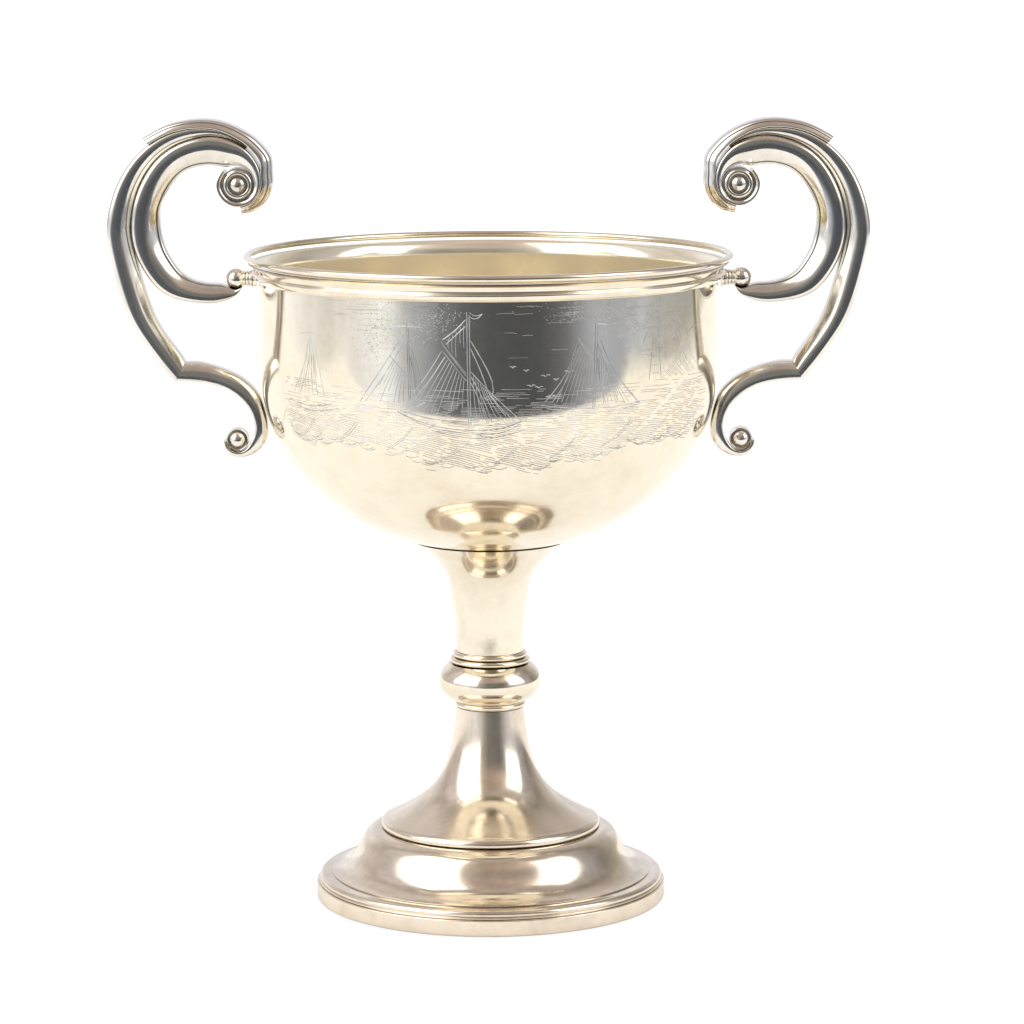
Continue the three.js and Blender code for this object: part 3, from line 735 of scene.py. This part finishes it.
# Rim: a drawn moulding, a round roll with a cove above it, wrapped round the wall under the
# lip, and a round wire bead along the edge.
bead_wide, bead_base, bead_top = extent("rim_bead")
bead_size = (bead_top - bead_base) / 2
bead_outline = corner(bead_wide - bead_size, bead_base + bead_size, bead_size, -180, 165, 24)
finish_piece(turn(bead_outline, bowl_steps), "polished_rim_bead", polished, "rim_bead")
roll = bowl_radius + 2.1
rim_outline = [
    (bowl_radius + 0.1, band_low),
    (bowl_radius + 0.4, band_low),
    *bezier(
        (bowl_radius + 0.45, band_low), (bowl_radius + 1.2, band_low + 0.1), (roll + 0.05, band_low + 0.9),
        (roll + 0.15, band_low + 1.9), 12,
    ),
    *bezier(
        (roll + 0.15, band_low + 1.95), (roll + 0.15, band_low + 2.4), (roll - 0.3, band_low + 2.6),
        (roll - 0.7, band_low + 2.62), 6,
    ),
    *bezier(
        (roll - 0.75, band_low + 2.75), (roll - 0.6, band_low + 3.9), (roll, band_low + 4.8),
        (roll + 1.1, lip_top - 0.1), 12,
    ),
    (bowl_radius + 2.5, lip_top - 0.1),
    (bowl_radius + 1.1, lip_top - 1.4),
    (bowl_radius + 0.35, lip_top - 3.0),
    (bowl_radius + 0.1, band_low + 1.2),
]
finish_piece(turn(rim_outline, bowl_steps), "polished_rim_band", polished, "rim_band")

# Handles: each is one casting in several pieces, soldered together. The main scroll rises from
# under the rim ball, sweeps outward and over, and curls in to a volute round a turned boss.


def rail(anchor, points):
    """A smooth run through (out, up) points from an anchor, asked for by shares of its length."""
    places = np.linspace(0, 1, len(points))
    points = np.array(points, float) + anchor
    return lambda t: bent_line(places, points, np.atleast_1d(np.asarray(t, float)))


def moulding(*bends):
    """The front half of a bar's section: it climbs its outer side, crosses its face and drops.

    Each bend is a length in millimetres and the angle below the level that it has turned to."""
    point, angle, line = np.array([0.0, 0.0]), -90.0, [(0.0, 0.0)]
    for length, to in bends:
        steps = max(1, round(abs(to - angle) / 12))
        for i in range(steps):
            slope = math.radians(angle + (to - angle) * (i + 0.5) / steps)
            point = point + length / steps * np.array([math.cos(slope), -math.sin(slope)])
            line.append(tuple(point))
        angle = to
    line.append((point[0], 0.0))
    return line


def draw_bar(outer, inner, section, half_depth, stations):
    """Lay a grid along two outlines and bend it round a moulding, then close both ends.

    Where the bar is narrower than its moulding, the moulded face shrinks with it."""
    wide, proud = section[-1][0], max(deep for across, deep in section)
    front = [(across / wide, deep - proud if deep else None) for across, deep in section]
    loop = [(across, deep, -1) for across, deep in front]
    loop += [(across, deep, 1) for across, deep in reversed(front[1:-1])]
    loop.append(loop[0])
    bpy.ops.object.select_all(action="DESELECT")
    bpy.ops.mesh.primitive_grid_add(x_subdivisions=stations - 1, y_subdivisions=len(loop) - 1)
    bar = bpy.context.object
    along = np.linspace(0, 1, stations)
    edge, across_bar = outer(along), inner(along) - outer(along)
    shrink = np.minimum(np.linalg.norm(across_bar, axis=1) / wide, 1.15)
    places = []
    for across, deep, side in loop:
        for i, t in enumerate(along):
            x, z = edge[i] + across * across_bar[i]
            y = 0 if deep is None else side * (half_depth(t) + deep * shrink[i])
            places += [x * mm, y * mm, z * mm]
    bar.data.vertices.foreach_set("co", places)
    bpy.ops.object.mode_set(mode="EDIT")
    bpy.ops.mesh.select_all(action="SELECT")
    bpy.ops.mesh.remove_doubles(threshold=0.000002)
    bpy.ops.mesh.select_all(action="DESELECT")
    bpy.ops.mesh.select_mode(type="EDGE")
    bpy.ops.mesh.select_non_manifold()
    bpy.ops.mesh.fill_holes(sides=0)
    bpy.ops.mesh.select_mode(type="VERT")
    bpy.ops.mesh.select_all(action="SELECT")
    bpy.ops.mesh.normals_make_consistent(inside=False)
    bpy.ops.object.mode_set(mode="OBJECT")
    return bar


def finish_pair(piece, name):
    """Finish the right handle's piece, and copy it half round the cup for the left handle."""
    finish_piece(piece, "cast_right_" + name, cast, "right_" + name)
    bpy.ops.object.duplicate(linked=False)
    other = bpy.context.object
    other.parent = None
    other.matrix_world = Matrix.Identity(4)
    other.data.transform(Matrix.Rotation(math.pi, 4, "Z"))
    finish_piece(other, "cast_left_" + name, cast, "left_" + name)


cast = silver("cast_silver", (0.9, 0.86, 0.78), (0.46, 0.4, 0.31), 0.08, False)
rim_anchor = np.array([bowl_radius + 2.1, band_low])
ridge = rail(rim_anchor, [
    (2.8, -2.1), (4.8, -4.9), (8.7, -6.6), (13.7, -7.2), (23.0, -5.8), (29.9, -1.1), (34.8, 7.5),
    (36.2, 16.7), (34.1, 26.8), (28.6, 36.0), (20.9, 41.4), (12.3, 43.4), (5.7, 42.2),
    (1.2, 39.6), (-2.0, 35.5), (-3.2, 31.0), (-2.5, 26.5), (0.0, 23.5), (3.7, 22.2),
    (7.4, 23.5), (9.7, 26.6), (9.9, 30.1), (8.15, 33.2),
])
hollow = rail(rim_anchor, [
    (3.5, -2.6), (5.6, -2.9), (8.8, -1.5), (13.6, -1.1), (20.0, 1.1), (23.8, 5.4), (26.4, 10.8),
    (27.5, 18.0), (26.5, 23.7), (22.8, 29.9), (18.3, 33.4), (12.4, 34.5), (7.4, 34.1),
    (3.4, 34.5), (0.2, 32.8), (-1.3, 29.8), (-1.1, 27.1), (0.5, 24.7), (3.7, 23.7),
    (6.6, 24.6), (8.45, 27.1), (8.65, 29.85), (7.3, 32.4),
])
scroll_section = moulding(
    (4.2, -88), (2.3, -4), (1.8, 3), (0.9, 18), (3.4, 38), (0.22, 60), (0.25, -8), (1.3, 86), (1.0, 89)
)
scroll = draw_bar(ridge, hollow, scroll_section, lambda t: 5.5 * min(1, 0.65 + t), 240)
finish_pair(scroll, "main_scroll")

# Leg: a strap of tapering section laid along the outside of the scroll, which leaves it and
# runs down to the mitre where the lower scroll begins.


def beside_ridge(t, away):
    """The line that keeps its distance outside the ridge, at shares of the ridge's length."""
    point = ridge(t)
    ahead = ridge(np.asarray(t) + 0.002) - ridge(np.asarray(t) - 0.002)
    ahead /= np.linalg.norm(ahead, axis=1)[:, None]
    return point + np.stack([ahead[:, 1], -ahead[:, 0]], axis=1) * np.asarray(away)[:, None]


def thickening(s):
    """The leg's thickness, from its feather edge at the top to where it leaves the scroll."""
    s = np.clip(s, 0, 1)
    return 0.6 + 6.6 * s * s * (3 - 2 * s)


seam = 0.05  # left open between the cast pieces, where the solder shows as a dark line
contact = wall_base - 13.1
bowl_anchor = np.array(
    [bowl_radius * math.sqrt(1 - ((wall_base - contact) / bowl_depth) ** 2) + 0.3, contact]
)
leg_top, leg_leaves = 13 / 22, 6.3 / 22
down = np.linspace(0, 1, 9)
beside = leg_top + (leg_leaves - leg_top) * down
leg_inner = [tuple(p) for p in beside_ridge(beside, np.full(9, seam))]
leg_outer = [tuple(p) for p in beside_ridge(beside, 0.3 + thickening(down))]
leg_inner += [tuple(bowl_anchor + p) for p in ((35.3, 35.3), (30.9, 25.5), (26.6, 19.5), (24.3, 15.9))]
leg_outer += [tuple(bowl_anchor + p) for p in ((42.3, 32.9), (37.0, 22.8), (31.9, 15.7), (27.4, 10.3))]
leg_section = moulding((3.1, -88), (2.4, -2), (1.5, 4), (1.2, 26), (2.4, 38), (0.5, 80), (0.3, 89))
leg = draw_bar(
    rail(0, leg_outer), rail(0, leg_inner), leg_section, lambda t: 4.7 * min(1, 0.5 + 2 * t), 160
)
finish_pair(leg, "leg")

# Cap: a moulded strap over the top of the scroll, from a square-cut spur at the outside to a
# tapering end wrapped round the volute.
cap_from, cap_to = 9.2 / 22, 17.8 / 22
over = np.linspace(0, 1, 15)
along_ridge = cap_from + (cap_to - cap_from) * over
under_cap = (leg_top - along_ridge) / (leg_top - leg_leaves)
rest = seam + np.where(under_cap > -0.2, 0.3 + thickening(under_cap), 0)
cap_thick = 2.5 + 1.3 * np.sin(math.pi * over**1.8) - 0.3 * over
cap_inner = [tuple(p) for p in beside_ridge(along_ridge, rest)]
cap_outer = [tuple(p) for p in beside_ridge(along_ridge, rest + cap_thick)]
cap_section = moulding((2.3, -88), (2.3, -28), (0.34, 14), (0.34, -34), (1.8, -15), (0.5, 30), (0.3, 88))
cap = draw_bar(rail(0, cap_outer), rail(0, cap_inner), cap_section, lambda t: 5.2, 130)
finish_pair(cap, "cap")

# Volute boss: a turned button through the eye of the volute, with a domed middle and a raised
# ring on each face.
boss_centre = Vector((rim_anchor[0] + 3.7, 0, rim_anchor[1] + 28.8)) * mm
boss_face = [
    (0, 6.3), (0.7, 6.24), (1.3, 6.04), (1.8, 5.72), (2.2, 5.3), (2.45, 4.75), (2.6, 4.6), (2.8, 4.7),
    (3.0, 5.0), (3.3, 5.2), (3.65, 5.22), (4.0, 5.1), (4.3, 4.9), (4.45, 4.6), (4.55, 4.45),
    (4.95, 4.4), (4.98, 3.2),
]
boss_outline = boss_face + [(out, -along) for out, along in reversed(boss_face)]
finish_pair(turn(boss_outline, 96, tuple(boss_centre), (0, 1, 0)), "volute_boss")

# Rim ball and its neck: the ball sits in the start of the scroll, and a reeded neck joins it
# to the rim moulding.
ball_centre = Vector((rim_anchor[0] + 4.8, 0, rim_anchor[1] + 0.1)) * mm
ball_radius = 3.1
ball_outline = [
    (ball_radius * math.sin(a), -ball_radius * math.cos(a)) for a in np.linspace(0, math.pi, 40)
]
ball_outline[0], ball_outline[-1] = (0, -ball_radius), (0, ball_radius)
finish_pair(turn(ball_outline, 64, tuple(ball_centre), (1, 0, 0)), "rim_ball")
neck_from = bowl_radius + 0.8
neck_outline = [(0, neck_from), (2.7, neck_from), (2.7, neck_from + 0.9)]
for i in range(3):
    reed = corner(0, 0, 0.5, 160, 20, 9)
    neck_outline += [(2.1 - 0.12 * i + up, neck_from + 1.55 + i * 1.05 + along) for along, up in reed]
neck_outline += [(1.6, neck_from + 4.4), (0, neck_from + 4.4)]
neck = turn(neck_outline, 64, (0, 0, ball_centre.z), (1, 0, 0))
finish_pair(neck, "rim_neck")

# Lower scroll: an S that carries the leg in to the bowl, touches it, and curls out again
# under a small ball.
lower_back = rail(bowl_anchor, [
    (24.3, 15.9), (19.0, 15.7), (10.6, 13.0), (5.0, 9.4), (1.9, 5.6), (0.0, 0.0), (-0.7, -5.5),
    (0.8, -9.9), (4.6, -12.6), (9.0, -13.2), (12.3, -11.2), (12.9, -8.3),
])
lower_front = rail(bowl_anchor, [
    (27.4, 10.3), (20.1, 9.9), (13.1, 8.3), (8.0, 5.1), (4.8, 1.3), (3.4, -2.4), (3.3, -5.6),
    (5.0, -9.1), (6.7, -11.1), (9.2, -11.6), (11.2, -10.3), (12.1, -8.3),
])
lower_section = moulding((3.3, -88), (1.3, -6), (1.3, 3), (1.9, 20), (1.7, 45), (2.2, 86), (0.4, 89))
lower = draw_bar(lower_front, lower_back, lower_section, lambda t: 4.7 * (1 - 0.3 * t), 150)
finish_pair(lower, "lower_scroll")
pearl_centre = Vector((bowl_anchor[0] + 8.7, 0, bowl_anchor[1] - 7.9)) * mm
pearl_face = [(2.75 * math.cos(a), 1.4 + 2.6 * math.sin(a)) for a in np.linspace(math.pi / 2, 0.3, 16)]
pearl_face[0] = (0, 4.0)
pearl_face += [(2.72, 2.1), (2.85, 2.15), (3.0, 2.5), (3.2, 2.62), (3.36, 2.45), (3.45, 1.7)]
pearl_outline = pearl_face + [(out, -along) for out, along in reversed(pearl_face)]
finish_pair(turn(pearl_outline, 64, tuple(pearl_centre), (0, 1, 0)), "lower_ball")
